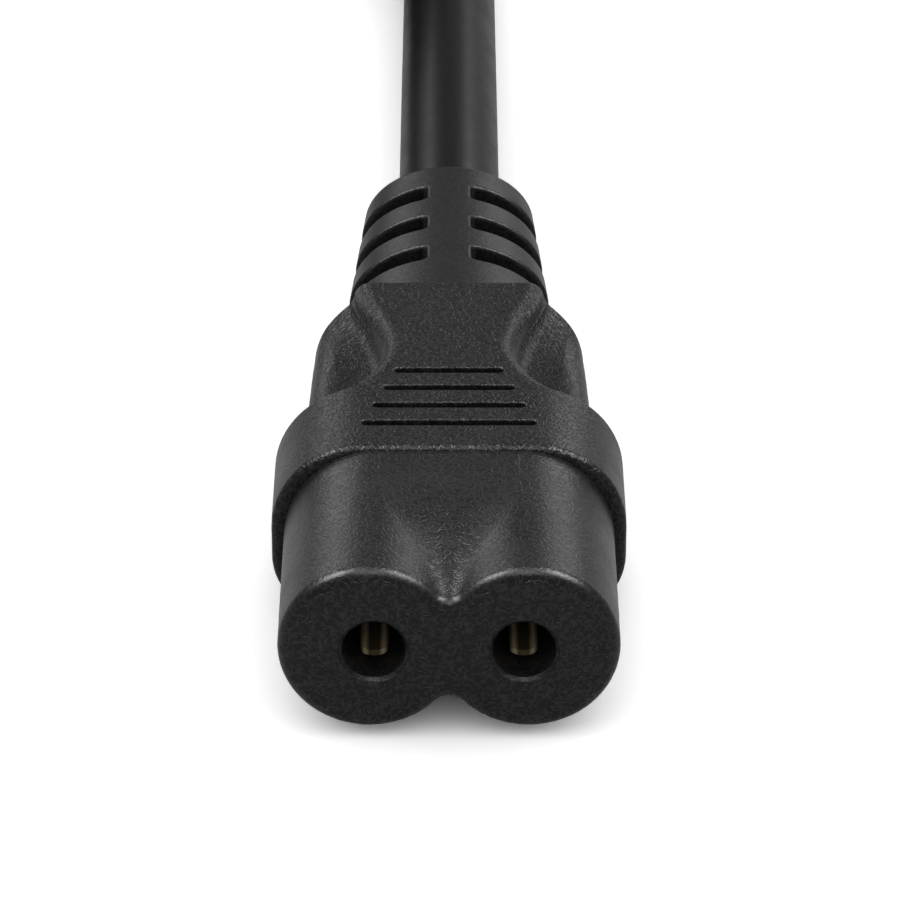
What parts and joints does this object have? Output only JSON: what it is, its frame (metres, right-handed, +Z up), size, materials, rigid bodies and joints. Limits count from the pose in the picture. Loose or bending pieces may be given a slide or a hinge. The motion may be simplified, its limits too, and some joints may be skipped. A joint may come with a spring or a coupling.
{
  "type": "figure eight power connector",
  "caption": "Figure eight appliance connector with a grooved grip and slotted strain relief, on a round cord wound into a tied hank that ends in a flat mains plug.",
  "frame": {"origin": "under the middle of the connector, on the surface that it lies on; the cord and the plug are left out", "axes": "+Z up, the pin holes face -Y, and the cord leaves along +Y"},
  "size_m": [0.0729, 0.2558, 0.0273],
  "materials": {
    "nose_pvc": "matte, fine grain",
    "grip_pvc": "matte, fine grain",
    "boot_pvc": "satin",
    "contact_brass": "satin",
    "core_blue": "satin",
    "core_brown": "satin",
    "copper": "satin",
    "cord_pvc": "satin",
    "tie": "satin",
    "plug_pvc": "matte, fine grain",
    "plug_boot_pvc": "matte, fine grain",
    "pin_bridge": "satin",
    "plug_pin_metal": "satin"
  },
  "bodies": {
    "root": {"nose_insert": "nose_pvc", "grip_overmould": "grip_pvc", "strain_relief_boot": "boot_pvc", "contact_left": "contact_brass", "contact_right": "contact_brass", "core_insulation_left": "core_blue", "core_insulation_right": "core_brown", "core_strands_left": "copper", "core_strands_right": "copper", "cord_lead": "cord_pvc", "cord_hank": "cord_pvc", "cord_tail": "cord_pvc", "cord_tie": "tie", "plug_body": "plug_pvc", "plug_boot": "plug_boot_pvc", "plug_pin_bridge": "pin_bridge", "plug_pin_left": "plug_pin_metal", "plug_pin_right": "plug_pin_metal", "plug_core_insulation_left": "core_blue", "plug_core_insulation_right": "core_brown", "plug_core_strands_left": "copper", "plug_core_strands_right": "copper"}
  },
  "joints": []
}
